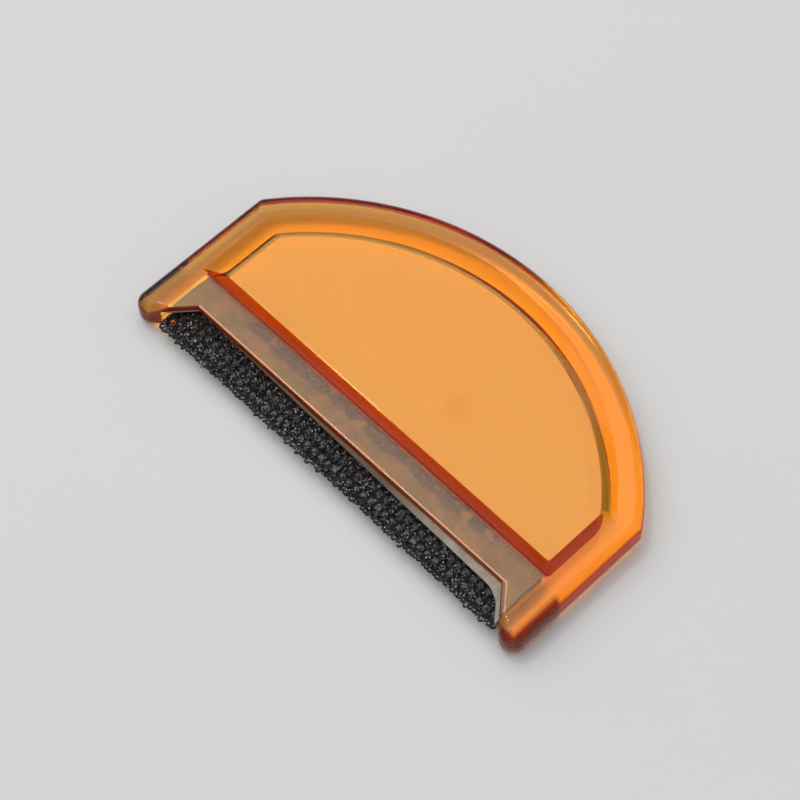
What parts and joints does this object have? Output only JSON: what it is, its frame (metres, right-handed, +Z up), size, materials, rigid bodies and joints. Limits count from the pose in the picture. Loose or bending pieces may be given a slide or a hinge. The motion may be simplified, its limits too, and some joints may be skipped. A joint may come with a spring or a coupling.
{
  "type": "manual lint shaver",
  "caption": "Flat D-shaped translucent handle with thumb recesses and a strip of black net held between its horns, drawn by hand over knitwear to take off pills and lint.",
  "frame": {"origin": "centre of the part's box, on the surface that it lies on", "axes": "+X along the mesh to the right horn, +Y from the mesh to the round back, +Z up out of the upper thumb recess"},
  "size_m": [0.095, 0.0554, 0.0062],
  "materials": {
    "amber_plastic": "glossy translucent amber moulding",
    "woven_tape": "pale grey woven binding tape",
    "black_mesh": "black knotted filament with small glints",
    "adhesive": "dried patchy adhesive"
  },
  "bodies": {
    "root": {"upper_shell": "amber_plastic", "lower_shell": "amber_plastic", "binding_tape": "woven_tape", "mesh_strip": "black_mesh", "upper_adhesive": "adhesive", "lower_adhesive": "adhesive"}
  },
  "joints": []
}
